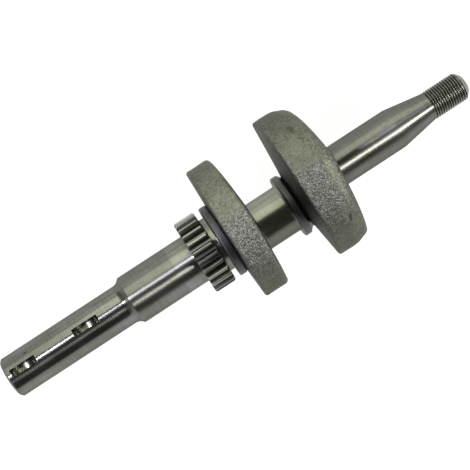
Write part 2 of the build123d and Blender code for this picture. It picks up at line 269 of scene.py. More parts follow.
# Cylindrically ground medium-carbon steel, a little oily: the wheel's marks run round the shaft and
# spread each highlight along it, the film of oil warms the grey in streaks 17 mm long and 5 mm wide.
# Marks are assumed 0.02 mm apart in life and drawn 0.5 mm apart, the finest that shows.
ground_steel, tree, output = new_material("ground_steel")
marks_per_metre, film_per_metre = (2000.0, 60.0, 60.0), (60.0, 190.0, 190.0)
oily_grey = (0.5, 0.5, 0.48, 1.0)
place = add_node(tree, "ShaderNodeTexCoord")
axes = add_node(tree, "ShaderNodeSeparateXYZ", {0: place.outputs["Object"]})
marks_place = add_node(
    tree, "ShaderNodeMapping", {"Vector": place.outputs["Object"], "Scale": marks_per_metre}
)
marks = add_node(
    tree,
    "ShaderNodeTexNoise",
    {"Vector": marks_place.outputs[0], "Scale": 1.0, "Detail": 3.0, "Roughness": 0.6},
)
marks_tint = add_node(
    tree,
    "ShaderNodeMapRange",
    {"Value": marks.outputs["Fac"], "From Min": 0.3, "From Max": 0.7, "To Min": 0.86, "To Max": 1.1},
)
marks_bump = add_node(
    tree, "ShaderNodeBump", {"Height": marks.outputs["Fac"], "Strength": 0.12, "Distance": 0.0002}
)
film_place = add_node(tree, "ShaderNodeMapping", {"Vector": place.outputs["Object"], "Scale": film_per_metre})
film = add_node(
    tree,
    "ShaderNodeTexNoise",
    {"Vector": film_place.outputs[0], "Scale": 1.0, "Detail": 4.0, "Roughness": 0.55},
)
film_tint = add_node(
    tree, "ShaderNodeValToRGB", {"Fac": film.outputs["Fac"]}, stops=((0.35, "#6f6f67"), (0.68, "#7d7d7b"))
)

# The journal's last third and the gear's seat were rubbed bright, from 9 mm past the middle to the ring
rub_starts = add_node(
    tree, "ShaderNodeMapRange", {"Value": axes.outputs["X"], "From Min": 0.0082, "From Max": 0.0092}
)
rub_ends = add_node(
    tree, "ShaderNodeMapRange", {"Value": axes.outputs["X"], "From Min": 0.0344, "From Max": 0.0334}
)
rubbed = add_node(
    tree, "ShaderNodeMath", {0: rub_starts.outputs[0], 1: rub_ends.outputs[0]}, operation="MULTIPLY"
)
brighter = add_node(tree, "ShaderNodeMath", {0: rubbed.outputs[0], 1: 0.2, 2: 1.0}, operation="MULTIPLY_ADD")
shade = add_node(
    tree, "ShaderNodeMath", {0: marks_tint.outputs[0], 1: brighter.outputs[0]}, operation="MULTIPLY"
)

# Nicks beside the key seats, on the rubbed journal, on the flywheel journal and on the taper. They run
# along the shaft, two and a half times as long as wide.
nick_squash = 0.4
nicks_place = add_node(
    tree, "ShaderNodeMapping", {"Vector": place.outputs["Object"], "Scale": (nick_squash, 1.0, 1.0)}
)
nicks = (
    (-81.3, 5.56, 9.62, 0.5, 0.3),
    (-78.05, 5.56, 9.62, 0.6, 0.75),
    (13.2, 7.55, 10.21, 0.4, 0.4),
    (15.2, 6.96, 10.62, 0.4, 0.35),
    (12.5, 3.05, 12.33, 0.4, 0.3),
    (137.1, 1.53, 10.99, 0.4, 0.45),
    (140.2, 3.15, 10.64, 0.4, 0.35),
    (151.2, 1.57, 9.37, 0.4, 0.5),
)
tone_factor = marked(tree, shade.outputs[0], nicks_place.outputs[0], nicks, nick_squash, core=0.4)
colour = add_node(
    tree,
    "ShaderNodeMix",
    {0: 1.0, 6: film_tint.outputs["Color"], 7: tone_factor},
    data_type="RGBA",
    blend_type="MULTIPLY",
)

# The stub mirrors the lamps most sharply, the journals less and the flywheel's side least
off_stub = add_node(
    tree,
    "ShaderNodeMapRange",
    {"Value": axes.outputs["X"], "From Min": -0.0236, "From Max": -0.0196, "To Min": 0.225, "To Max": 0.34},
)
past_webs = add_node(
    tree,
    "ShaderNodeMapRange",
    {"Value": axes.outputs["X"], "From Min": 0.08, "From Max": 0.1, "To Min": 0.0, "To Max": 0.09},
)
oiled = add_node(
    tree,
    "ShaderNodeMapRange",
    {"Value": film.outputs["Fac"], "From Min": 0.3, "From Max": 0.7, "To Min": -0.03, "To Max": 0.03},
)
roughness = add_node(
    tree, "ShaderNodeMath", {0: rubbed.outputs[0], 1: -0.03, 2: off_stub.outputs[0]}, operation="MULTIPLY_ADD"
)
for change in (past_webs, oiled):
    roughness = add_node(
        tree, "ShaderNodeMath", {0: roughness.outputs[0], 1: change.outputs[0]}, operation="ADD"
    )
round_shaft = add_node(tree, "ShaderNodeTangent", direction_type="RADIAL", axis="X")
shader = add_node(
    tree,
    "ShaderNodeBsdfPrincipled",
    {
        "Base Color": colour.outputs[2],
        "Metallic": 1.0,
        "Roughness": roughness.outputs[0],
        "Specular Tint": oily_grey,
        "Anisotropic": 0.95,
        "Anisotropic Rotation": 0.25,
        "Normal": marks_bump.outputs[0],
        "Tangent": round_shaft.outputs[0],
    },
)
tree.links.new(shader.outputs[0], output.inputs[0])

# Milled steel: the cutter left the key seats' floors smooth in every direction, so they mirror the lamps
# as short bars between dark walls. Its swirls are drawn 0.7 mm apart.
milled_steel, tree, output = new_material("milled_steel")
place = add_node(tree, "ShaderNodeTexCoord")
swirl = add_node(
    tree, "ShaderNodeTexNoise", {"Vector": place.outputs["Object"], "Scale": 1400.0, "Detail": 2.0}
)
swirl_bump = add_node(
    tree, "ShaderNodeBump", {"Height": swirl.outputs["Fac"], "Strength": 0.25, "Distance": 0.0001}
)
shader = add_node(
    tree,
    "ShaderNodeBsdfPrincipled",
    {
        "Base Color": linear("#76766e"),
        "Metallic": 1.0,
        "Roughness": 0.24,
        "Specular Tint": oily_grey,
        "Normal": swirl_bump.outputs[0],
    },
)
tree.links.new(shader.outputs[0], output.inputs[0])

# Rough-turned steel of the collar and the pin's bosses: a coarse feed left it dull and dark. Turning
# marks are assumed 0.15 mm apart in life and drawn 0.5 mm apart.
turned_steel, tree, output = new_material("rough_turned_steel")
feed_per_metre = (2000.0, 90.0, 90.0)
place = add_node(tree, "ShaderNodeTexCoord")
feed_place = add_node(tree, "ShaderNodeMapping", {"Vector": place.outputs["Object"], "Scale": feed_per_metre})
feed = add_node(tree, "ShaderNodeTexNoise", {"Vector": feed_place.outputs[0], "Scale": 1.0, "Detail": 3.0})
feed_tint = add_node(
    tree, "ShaderNodeValToRGB", {"Fac": feed.outputs["Fac"]}, stops=((0.35, "#4f4f4f"), (0.68, "#646465"))
)
feed_bump = add_node(
    tree, "ShaderNodeBump", {"Height": feed.outputs["Fac"], "Strength": 0.3, "Distance": 0.0002}
)
shader = add_node(
    tree,
    "ShaderNodeBsdfPrincipled",
    {
        "Base Color": feed_tint.outputs["Color"],
        "Metallic": 1.0,
        "Roughness": 0.5,
        "Specular Tint": (0.95, 0.95, 0.92, 1.0),
        "Normal": feed_bump.outputs[0],
    },
)
tree.links.new(shader.outputs[0], output.inputs[0])

# Lapped steel: the ring and, further on, the crankpin were polished after grinding, so they are
# brightest. Lapping marks are too fine to show, so they are drawn 0.6 mm apart. The pin's -Y side is
# painted darker: painted shade and reflection of the shaded floor between the webs.
lapped_steel, tree, output = new_material("lapped_steel")
lap_per_metre = (1600.0, 60.0, 60.0)
place = add_node(tree, "ShaderNodeTexCoord")
axes = add_node(tree, "ShaderNodeSeparateXYZ", {0: place.outputs["Object"]})
lap_place = add_node(tree, "ShaderNodeMapping", {"Vector": place.outputs["Object"], "Scale": lap_per_metre})
lap = add_node(tree, "ShaderNodeTexNoise", {"Vector": lap_place.outputs[0], "Scale": 1.0, "Detail": 3.0})
lap_tint = add_node(
    tree, "ShaderNodeValToRGB", {"Fac": lap.outputs["Fac"]}, stops=((0.35, "#8a8b80"), (0.68, "#929388"))
)
on_pin = add_node(
    tree, "ShaderNodeMapRange", {"Value": axes.outputs["X"], "From Min": 0.05, "From Max": 0.054}
)
# Painted shade: towards its -Y side the pin's colour runs to a near-black
low_side = add_node(
    tree,
    "ShaderNodeMapRange",
    {"Value": axes.outputs["Y"], "From Min": -0.006, "From Max": -0.0085, "To Min": 0.0, "To Max": 0.55},
    interpolation_type="SMOOTHSTEP",
)
pin_low_shade = add_node(tree, "ShaderNodeMath", {0: on_pin.outputs[0], 1: low_side.outputs[0]}, operation="MULTIPLY")
colour = add_node(
    tree,
    "ShaderNodeMix",
    {0: pin_low_shade.outputs[0], 6: lap_tint.outputs["Color"], 7: linear("#2e2e28")},
    data_type="RGBA",
)
round_pin = add_node(tree, "ShaderNodeTangent", direction_type="RADIAL", axis="X")
shader = add_node(
    tree,
    "ShaderNodeBsdfPrincipled",
    {
        "Base Color": colour.outputs[2],
        "Metallic": 1.0,
        "Roughness": 0.36,
        "Specular Tint": oily_grey,
        "Anisotropic": 0.85,
        "Anisotropic Rotation": 0.25,
        "Tangent": round_pin.outputs[0],
    },
)
tree.links.new(shader.outputs[0], output.inputs[0])


def face_centres(piece):
    """Middle of every face, as columns x, y and z in millimetres."""
    centres = np.empty(len(piece.data.polygons) * 3)
    piece.data.polygons.foreach_get("center", centres)
    return centres.reshape(-1, 3).T * 1000


def finish_faces(piece, *finishes):
    """Gives faces their own material: each finish is a material and a true-or-false mask over the faces."""
    slots = np.zeros(len(piece.data.polygons), np.int32)
    for material, mask in finishes:
        slots[mask] = len(piece.data.materials)
        piece.data.materials.append(material)
    piece.data.polygons.foreach_set("material_index", slots)


output_shaft.data.materials.append(ground_steel)
x, y, z = face_centres(output_shaft)
in_seat = np.min(np.abs(x[:, None] - seat_centres), axis=1) < seat_cutter_radius
in_seat &= (np.abs(y) < 2.1) & (z > 2) & (z < np.sqrt(stub_radius**2 - y**2) - 0.12)
on_collar = (x > x_collar - 0.05) & (np.hypot(y, z) > ring_radius + 0.1)
on_ring = (x > x_ring - 0.3) & (x < x_collar + 0.1) & ~on_collar
finish_faces(output_shaft, (milled_steel, in_seat), (turned_steel, on_collar), (lapped_steel, on_ring))
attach(output_shaft, "root")
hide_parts("crankshaft")

# ---- Output web and counterweight
# Drop-forged in two dies that meet on the plane of the throw, so both faces are drafted away from it,
# then shot-blasted. One die left a smooth rim, the worn one a coarse, pitted band beside the parting.
x_output_cheek = 54.16
output_rim, throw = 39.46, 25.4
flank_angle, waist_y, neck_y = radians(43.6), 16.0, 4.0
flank_blend, lobe_blend, rim_blend = 5.0, 3.0, 3.0
forging_swell = 0.1


def soft_min(a, b, blend):
    """The smaller of two lengths; where they come within the blend of each other a parabola joins them."""
    share = np.clip(0.5 + 0.5 * (b - a) / blend, 0, 1)
    return b + (a - b) * share - blend * share * (1 - share)


def web_radius(turn, rim, lobe, shoulder_y, shoulder_z):
    """The web's outline as a radius about the main axis, by turn from the counterweight's middle: the rim
    circle, cut by a straight flank, widened by the neck's line and by the lobe's circle about the crankpin.
    A line's radius is its distance over the cosine of the angle to its normal."""
    across, up = np.abs(np.sin(turn)), np.cos(turn)
    waist_z = shoulder_z - (shoulder_y - waist_y) * tan(flank_angle)
    flank_normal = (sin(flank_angle), -cos(flank_angle))
    neck = np.array([neck_y, throw + waist_z])
    neck_normal = (neck[1] / np.hypot(*neck), -neck[0] / np.hypot(*neck))
    lines = []
    for normal in (flank_normal, neck_normal):
        distance = normal[0] * waist_y + normal[1] * waist_z
        lines.append(distance / np.maximum(normal[0] * across + normal[1] * up, 0.05))
    sides = np.minimum(-soft_min(-lines[0], -lines[1], flank_blend), throw / np.maximum(-up, 0.05))
    reach = lobe**2 - (throw * across) ** 2
    circle = np.where(reach > 0, -throw * up + np.sqrt(np.maximum(reach, 0)), 0)
    return soft_min(rim, -soft_min(-sides, -circle, lobe_blend), rim_blend)


def web_rings(x_low, x_high, rim_at, shoulder, lobes, drafts, rim_eases, other_eases, columns=720):
    """The web as rings from the middle of its low face, out over the edge, across the rim and in over the
    high face. Depth through the web grows by ease times (1 - cosine) round each edge and evenly between
    them, and the outline moves inwards along its normal by ease times (1 - sine). Each face leans away from
    the parting by the distance from it times the tangent of the draft."""
    turn = np.linspace(0, 2 * pi, columns, endpoint=False)[None, :]
    off_rim = np.clip((np.minimum(turn, 2 * pi - turn) - radians(shoulder) + 0.1) / 0.2, 0, 1)
    ease_low, ease_high = (
        rim_ease + (other_ease - rim_ease) * off_rim for rim_ease, other_ease in zip(rim_eases, other_eases)
    )
    face = np.array([0, 0.1, 0.25, 0.4, 0.55, 0.7, 0.8, 0.88, 0.94, 0.98])
    edge = np.linspace(0, pi / 2, 7)
    side = np.linspace(0, 1, 34)[1:-1]
    ends = np.zeros(len(face) + len(edge))
    low = np.r_[face * 0, edge, np.full(len(side) + len(ends), pi / 2)][:, None]
    high = low[::-1]
    share = np.r_[ends, side, ends + 1][:, None]
    scale = np.r_[face, np.ones(len(side) + 2 * len(edge)), face[::-1]][:, None]
    thick = x_high - x_low
    depth = ease_low * (1 - np.cos(low)) + share * (thick - ease_low - ease_high) + ease_high * np.cos(high)
    inset = ease_low * (1 - np.sin(low)) + ease_high * (1 - np.sin(high))
    fraction = depth / thick
    lobe = lobes[0] + (lobes[1] - lobes[0]) * fraction
    corner_y, corner_z = rim_at(x_low) * sin(radians(shoulder)), rim_at(x_low) * cos(radians(shoulder))
    r = web_radius(turn, rim_at(x_low + depth), lobe, corner_y, corner_z)
    y, z = r * np.sin(turn), r * np.cos(turn)
    run_y = np.roll(y, -1, axis=1) - np.roll(y, 1, axis=1)
    run_z = np.roll(z, -1, axis=1) - np.roll(z, 1, axis=1)
    length = np.hypot(run_y, run_z)
    y, z = (y + inset * run_z / length) * scale, (z - inset * run_y / length) * scale
    low_face = x_low + np.abs(y) * tan(radians(drafts[0]))
    high_face = x_high - np.abs(y) * tan(radians(drafts[1]))
    return np.stack([low_face + (high_face - low_face) * fraction, y, z], -1)


def uneven(rings, height):
    """The forging's unevenness: three slow sine waves over the surface, of fixed lengths from 9 to 23 mm,
    move each point out or in along the line from the main axis by up to the given height."""
    x, y, z = np.moveaxis(rings, -1, 0)
    swell = (
        np.sin(x / 2.6 + y / 3.7 + 0.4) * np.sin(z / 3.1 - y / 2.9)
        + np.sin(x / 3.3 - y / 1.9 + 2.1) * np.sin(y / 2.3 + 1.3)
        + np.sin(z / 1.7 + x / 1.5)
    )
    distance = np.maximum(np.hypot(y, z), 1e-6)
    out = height * swell / 3 * np.clip(distance / 20, 0, 1)
    return rings + np.stack([0 * x, out * y / distance, out * z / distance], -1)


rings = web_rings(
    x_output_web,
    x_output_cheek,
    lambda x: output_rim + 0 * x,
    shoulder=75.2,
    lobes=(13.0, 15.8),
    drafts=(0.6, 1.9),
    rim_eases=(1.5, 2.9),
    other_eases=(1.6, 1.6),
)
output_web = skin("output_web", uneven(rings, forging_swell))

# Shot-blasted forging: a dull grey skin with an olive cast, in patches 14 mm wide. The smooth half has
# shallow dimples drawn 1.3 mm across. In the coarse half the scale broke away in pits, drawn 0.9 mm
# across, whose rims catch the light. It lies on the -Y side of the parting, with an edge that wanders by
# 0.6 mm, fades out 20 to 36 mm from it and is weaker beyond the flywheel web's bevel.
forged_steel, tree, output = new_material("shot_blasted_forging")
dimples_per_metre, pits_per_metre, patches_per_metre, wander_per_metre = 760.0, 1100.0, 70.0, 160.0
place = add_node(tree, "ShaderNodeTexCoord")
axes = add_node(tree, "ShaderNodeSeparateXYZ", {0: place.outputs["Object"]})
wander = add_node(
    tree, "ShaderNodeTexNoise", {"Vector": place.outputs["Object"], "Scale": wander_per_metre, "Detail": 2.0}
)
ragged = add_node(
    tree, "ShaderNodeMapRange", {"Value": wander.outputs["Fac"], "To Min": -0.0006, "To Max": 0.0006}
)
beside = add_node(tree, "ShaderNodeMath", {0: axes.outputs["Y"], 1: ragged.outputs[0]}, operation="ADD")
below = add_node(
    tree, "ShaderNodeMapRange", {"Value": beside.outputs[0], "From Min": 0.0003, "From Max": -0.0003}
)
inside = add_node(
    tree, "ShaderNodeMapRange", {"Value": beside.outputs[0], "From Min": -0.036, "From Max": -0.02}
)
off_bevel = add_node(
    tree,
    "ShaderNodeMapRange",
    {"Value": axes.outputs["X"], "From Min": 0.0954, "From Max": 0.0964, "To Min": 1.0, "To Max": 0.35},
)
coarse = below
for limit in (inside, off_bevel):
    coarse = add_node(
        tree, "ShaderNodeMath", {0: coarse.outputs[0], 1: limit.outputs[0]}, operation="MULTIPLY"
    )
dimples = add_node(
    tree,
    "ShaderNodeTexNoise",
    {"Vector": place.outputs["Object"], "Scale": dimples_per_metre, "Detail": 4.0, "Roughness": 0.65},
)
dimples_bump = add_node(
    tree, "ShaderNodeBump", {"Height": dimples.outputs["Fac"], "Strength": 1.0, "Distance": 0.0004}
)
pits = add_node(
    tree,
    "ShaderNodeTexNoise",
    {
        "Vector": place.outputs["Object"],
        "Scale": pits_per_metre,
        "Detail": 3.0,
        "Roughness": 0.5,
        "Distortion": 0.5,
    },
)
pits_height = add_node(
    tree, "ShaderNodeMath", {0: pits.outputs["Fac"], 1: coarse.outputs[0]}, operation="MULTIPLY"
)
pits_bump = add_node(
    tree,
    "ShaderNodeBump",
    {
        "Height": pits_height.outputs[0],
        "Strength": 1.0,
        "Distance": 0.0006,
        "Normal": dimples_bump.outputs[0],
    },
)
patches = add_node(
    tree,
    "ShaderNodeTexNoise",
    {"Vector": place.outputs["Object"], "Scale": patches_per_metre, "Detail": 5.0, "Roughness": 0.6},
)
smooth_tint = add_node(
    tree, "ShaderNodeValToRGB", {"Fac": patches.outputs["Fac"]}, stops=((0.32, "#616258"), (0.7, "#727368"))
)
# Painted shade and highlight: in the coarse half the same noise that bumps the pits makes them darker and
# their rims lighter
coarse_tint_and_pit_shade = add_node(
    tree, "ShaderNodeValToRGB", {"Fac": pits.outputs["Fac"]}, stops=((0.38, "#555652"), (0.64, "#7f807c"))
)
skin_tint = add_node(
    tree,
    "ShaderNodeMix",
    {0: coarse.outputs[0], 6: smooth_tint.outputs["Color"], 7: coarse_tint_and_pit_shade.outputs["Color"]},
    data_type="RGBA",
)

# What darkens or lightens the skin: its dimples, painted shade by the distance y from the parting, the
# darker rim of the flywheel web by x, the pale line of the parting itself, and stains
mottle = add_node(
    tree,
    "ShaderNodeMapRange",
    {"Value": dimples.outputs["Fac"], "From Min": 0.36, "From Max": 0.64, "To Min": 0.72, "To Max": 1.26},
)
across = add_node(
    tree, "ShaderNodeMapRange", {"Value": axes.outputs["Y"], "From Min": -0.04, "From Max": 0.04}
)
# Painted shade: the skin darkens on the -Y side of the parting and towards the rim's far edges
painted_shade_by_y_at = ((-36.0, 0.9), (-25.6, 0.78), (-13.6, 0.8), (-4.0, 1.0), (22.4, 1.0), (36.0, 0.84))
painted_shade_by_y = add_node(
    tree,
    "ShaderNodeValToRGB",
    {"Fac": across.outputs[0]},
    stops=[((y + 40) / 80, share) for y, share in painted_shade_by_y_at],
)
along = add_node(tree, "ShaderNodeMapRange", {"Value": axes.outputs["X"], "From Min": 0.03, "From Max": 0.11})
darker_rim_at = ((60.0, 1.0), (78.0, 0.87), (95.44, 0.87), (96.72, 1.0))
darker_rim = add_node(
    tree,
    "ShaderNodeValToRGB",
    {"Fac": along.outputs[0]},
    stops=[((x - 30) / 80, share) for x, share in darker_rim_at],
)
at_parting = add_node(tree, "ShaderNodeMath", {0: axes.outputs["Y"], 1: 0.0, 2: 0.00022}, operation="COMPARE")
parting = add_node(
    tree, "ShaderNodeMath", {0: at_parting.outputs[0], 1: 0.16, 2: 1.0}, operation="MULTIPLY_ADD"
)
tone_factor = mottle.outputs[0]
for factor in (painted_shade_by_y.outputs["Color"], darker_rim.outputs["Color"], parting.outputs[0]):
    tone_factor = add_node(tree, "ShaderNodeMath", {0: tone_factor, 1: factor}, operation="MULTIPLY").outputs[0]
stains = (
    (42.0, 26.9, 28.9, 0.9, 0.4),
    (42.9, -14.2, 36.8, 0.8, 0.4),
    (93.0, 22.7, 35.5, 2.8, 0.45),
    (93.2, 20.4, 36.9, 2.2, 0.42),
    (94.3, 14.4, 39.6, 1.4, 0.35),
    (94.4, 12.5, 40.1, 1.3, 0.3),
    (82.4, 19.8, 37.2, 1.3, 0.3),
    (94.5, -29.6, 29.8, 1.45, 0.95),
    (94.2, -31.1, 28.4, 1.45, 0.95),
)
tone_factor = marked(tree, tone_factor, place.outputs["Object"], stains)
mottled = add_node(
    tree, "ShaderNodeMix", {0: 1.0, 6: skin_tint.outputs[2], 7: tone_factor}, data_type="RGBA", blend_type="MULTIPLY"
)

# Painted shade on the flat cheeks, darkest across their middle, where the webs shade each other's inner
# cheeks; the same darkening also stands for the scale that stays there, where nothing rubs
facing = add_node(tree, "ShaderNodeSeparateXYZ", {0: place.outputs["Normal"]})
flatness = add_node(tree, "ShaderNodeMath", {0: facing.outputs["X"]}, operation="ABSOLUTE")
on_cheek = add_node(
    tree, "ShaderNodeMapRange", {"Value": flatness.outputs[0], "From Min": 0.86, "From Max": 0.98}
)
cheek_shade_at = ((-32.0, 0.45), (-20.8, 0.85), (16.0, 0.85), (30.4, 0.25))
cheek_shade_depth = add_node(
    tree,
    "ShaderNodeValToRGB",
    {"Fac": across.outputs[0]},
    stops=[((y + 40) / 80, share) for y, share in cheek_shade_at],
)
cheek_shade_share = add_node(
    tree, "ShaderNodeMath", {0: on_cheek.outputs[0], 1: cheek_shade_depth.outputs["Color"]}, operation="MULTIPLY"
)
# The cheeks' painted shade and scale: a near-black mixed in by that share
colour = add_node(
    tree,
    "ShaderNodeMix",
    {0: cheek_shade_share.outputs[0], 6: mottled.outputs[2], 7: linear("#262724")},
    data_type="RGBA",
)
roughness = add_node(tree, "ShaderNodeMapRange", {"Value": coarse.outputs[0], "To Min": 0.52, "To Max": 0.46})
shader = add_node(
    tree,
    "ShaderNodeBsdfPrincipled",
    {
        "Base Color": colour.outputs[2],
        "Metallic": 1.0,
        "Roughness": roughness.outputs[0],
        "Specular Tint": (0.72, 0.72, 0.7, 1.0),
        "Normal": pits_bump.outputs[0],
    },
)
tree.links.new(shader.outputs[0], output.inputs[0])
output_web.data.materials.append(forged_steel)
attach(output_web, "root")
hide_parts("crankshaft")

# ---- Crankpin and its bosses
# Ground in one piece with the bosses that hold the big end sideways: a polished pin with a rolled
# fillet at each end, between two shallow discs that were faced in the same setting.
x_pin, x_pin_end = 55.9, 75.9
pin_radius, pin_boss_radius, pin_boss_thick = 13.75, 18.0, 3.7
draft_radius, draft_reach, buried_radius, buried_reach = 15.8, 5.6, 14.0, 8.0
polished_radius = 15.2
profile = divided(
    eased(
        [
            (x_pin - buried_reach, 0, 0),
            (x_pin - buried_reach, buried_radius, 0),
            (x_pin - draft_reach, draft_radius, 0.3),
            (x_pin - pin_boss_thick, pin_boss_radius, 0.7),
            (x_pin, pin_boss_radius, 0.8),
            (x_pin, pin_radius, 1.8),
            (x_pin_end, pin_radius, 1.8),
            (x_pin_end, pin_boss_radius, 0.9),
            (x_pin_end + pin_boss_thick, pin_boss_radius, 0.7),
            (x_pin_end + draft_reach, draft_radius, 0.4),
            (x_pin_end + buried_reach, buried_radius, 0),
            (x_pin_end + buried_reach, 0, 0),
        ],
        steps=7,
    ),
    1.0,
)
angles = np.broadcast_to(np.linspace(0, 2 * pi, 160, endpoint=False), (len(profile), 160))
crankpin = skin("crankpin", turned(profile[:, 0], profile[:, 1:], angles, -throw))
crankpin.data.materials.append(lapped_steel)
x, y, z = face_centres(crankpin)
finish_faces(crankpin, (turned_steel, np.hypot(y, z + throw) > polished_radius))
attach(crankpin, "root")
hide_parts("crankshaft")

# ---- Flywheel web and counterweight
# The thicker web of the same forging, shot-blasted with it. Its rim is turned down in a shallow bevel
# towards the flywheel so that it clears the crankcase wall.
x_flywheel_cheek, x_bevel, x_bevel_end, x_flywheel_web = 81.02, 94.1, 100.3, 103.2
flywheel_rim, bevel_rim = 42.18, 39.58


def bevelled_rim(x):
    """Rim radius along the web: level for 13 mm, then down 2.6 mm in the next 6.2 mm to a narrow level edge,
    with each bend spread over 5 mm."""
    corners = [
        (x_flywheel_cheek, flywheel_rim, 0),
        (x_bevel, flywheel_rim, 2.6),
        (x_bevel_end, bevel_rim, 2.4),
        (x_flywheel_web, bevel_rim, 0),
    ]
    path = eased(corners, steps=9)
    return np.interp(x, path[:, 0], path[:, 1])


rings = web_rings(
    x_flywheel_cheek,
    x_flywheel_web,
    bevelled_rim,
    shoulder=76.3,
    lobes=(15.8, 13.0),
    drafts=(0.2, 3.8),
    rim_eases=(1.4, 4.0),
    other_eases=(1.6, 3.0),
)
flywheel_web = skin("flywheel_web", uneven(rings, forging_swell))
flywheel_web.data.materials.append(forged_steel)
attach(flywheel_web, "root")
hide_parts("crankshaft")

# ---- Flywheel journal and taper
# Turned and ground like the output side: a thrust boss, the journal, and a 1 in 3 taper that the
# flywheel's hub is drawn on to, with a milled keyway on the crankpin's side.
x_flywheel_journal, x_taper, x_neck, x_thread = 105.0, 142.2, 162.975, 164.075
thrust_radius, flywheel_journal_radius, neck_radius, thread_root = 16.0, 11.1125, 7.65, 7.072
keyway_half_width, keyway_depth, keyway_length = 2.381, 2.2, 15.0
profile = divided(
    eased(
        [
            (x_flywheel_web - overlap, 0, 0),
            (x_flywheel_web - overlap, thrust_radius, 0),
            (x_flywheel_journal, thrust_radius, 0.5),
            (x_flywheel_journal, flywheel_journal_radius, 0.8),
            (x_taper, flywheel_journal_radius, 0.6),
            (x_neck, neck_radius, 0.12),
            (x_thread, neck_radius, 0.25),
            (x_thread, thread_root, 0),
            (x_thread + 3, thread_root, 0),
            (x_thread + 3, 0, 0),
        ]
    ),
    0.6,
)
profile_x, profile_r = profile[:, :1], profile[:, 1:]
angles, share = slot_columns(profile[:, 1], keyway_half_width, pi)
rings = turned(profile_x, profile_r, angles)

# The keyway's floor runs parallel to the taper, which grows 1 in 6 on the radius; its end is the cutter's
# half circle
on_taper = (profile_x > x_neck - keyway_length) & (profile_x < x_thread + 0.01)
end_run = np.clip(x_neck - keyway_length + keyway_half_width - profile_x, 0, keyway_half_width)
end_width = np.sqrt(keyway_half_width**2 - end_run**2)
surface = neck_radius + np.maximum(x_neck - profile_x, 0) / 6
deep = np.maximum(-rings[..., 2] - (surface - keyway_depth), 0)
deep *= on_taper & (np.abs(rings[..., 1]) <= end_width + 1e-6) & (share != 0)
rings[..., 2] += np.where(share < 0, np.minimum(deep, broken_edge), deep)
flywheel_shaft = skin("flywheel_shaft", rings)
flywheel_shaft.data.materials.append(ground_steel)
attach(flywheel_shaft, "root")
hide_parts("crankshaft")

# ---- Flywheel thread
# A rolled 18-per-inch thread for the flywheel's nut, with a long chamfer and the centre that the shaft
# was turned on.
thread_pitch, thread_radius, thread_depth = 1.411, 7.9375, 0.866
x_first_turn, x_thread_end, x_tip = x_thread + 0.05, 182.575, 185.575
centre_radius, centre_mouth, centre_cone, centre_depth = 1.6, 3.3, 2.94, 6.5
centre = eased(
    [
        (x_tip - 0.2, 5.15, 0),
        (x_tip, 4.9, 0.15),
        (x_tip, centre_mouth, 0.15),
        (x_tip - centre_cone, centre_radius, 0.2),
        (x_tip - centre_depth, centre_radius, 0.2),
        (x_tip - centre_depth - 0.9, 0, 0),
    ]
)
rows = np.arange(x_first_turn, x_tip - 0.25, thread_pitch / 12)[:, None]
angles = np.linspace(0, 2 * pi, 144, endpoint=False)[None, :]

# By the distance from the middle of the groove, as a share of half the pitch, the radius is level over a
# sixth at the root, rises straight, and is level over an eighth at the crest. The first turn and the
# chamfer limit it.
root_flat, crest_flat = 1 / 6, 0.125
distance = np.abs(2 * ((rows / thread_pitch - angles / (2 * pi)) % 1) - 1)
height = np.clip((distance - root_flat) / (1 - crest_flat - root_flat), 0, 1)
radius = thread_radius - thread_depth * (1 - height)
radius = np.minimum(radius, thread_radius - np.maximum(rows - x_thread_end, 0))
radius = np.minimum(radius, 7.6 + np.maximum(rows - x_first_turn - 0.1, 0) * 1.2)
rings = turned(rows, radius, np.broadcast_to(angles, radius.shape))
closing = turned(centre[:, 0], centre[:, 1:], np.broadcast_to(angles, (len(centre), angles.size)))
opening = turned([x_first_turn], np.zeros((1, 1)), angles)
flywheel_thread = skin("flywheel_thread", np.concatenate([opening, rings, closing]), crease=40)


def from_main_axis(tree, place):
    """Distance from the main axis: the length of the place once its x is taken out."""
    flat = add_node(tree, "ShaderNodeMapping", {"Vector": place.outputs["Object"], "Scale": (0.0, 1.0, 1.0)})
    return add_node(tree, "ShaderNodeVectorMath", {0: flat.outputs[0]}, operation="LENGTH").outputs["Value"]


# Rolled thread steel: darker than the ground shaft, with painted shade in the roots and bright crests and
# chamfer
thread_steel, tree, output = new_material("rolled_thread_steel")
place = add_node(tree, "ShaderNodeTexCoord")
axes = add_node(tree, "ShaderNodeSeparateXYZ", {0: place.outputs["Object"]})
crest = add_node(
    tree,
    "ShaderNodeMapRange",
    {"Value": from_main_axis(tree, place), "From Min": 0.0073, "From Max": 0.00785},
)
chamfer = add_node(
    tree, "ShaderNodeMapRange", {"Value": axes.outputs["X"], "From Min": 0.1826, "From Max": 0.1832}
)
bright = add_node(tree, "ShaderNodeMath", {0: crest.outputs[0], 1: chamfer.outputs[0]}, operation="MAXIMUM")
# Painted shade: below the crests the thread takes the dark colour, so its roots read as shaded
colour = add_node(
    tree,
    "ShaderNodeMix",
    {0: bright.outputs[0], 6: linear("#43443f"), 7: linear("#83847d")},
    data_type="RGBA",
)
shader = add_node(
    tree, "ShaderNodeBsdfPrincipled", {"Base Color": colour.outputs[2], "Metallic": 1.0, "Roughness": 0.38}
)
tree.links.new(shader.outputs[0], output.inputs[0])
flywheel_thread.data.materials.append(thread_steel)
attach(flywheel_thread, "root")
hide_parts("crankshaft")

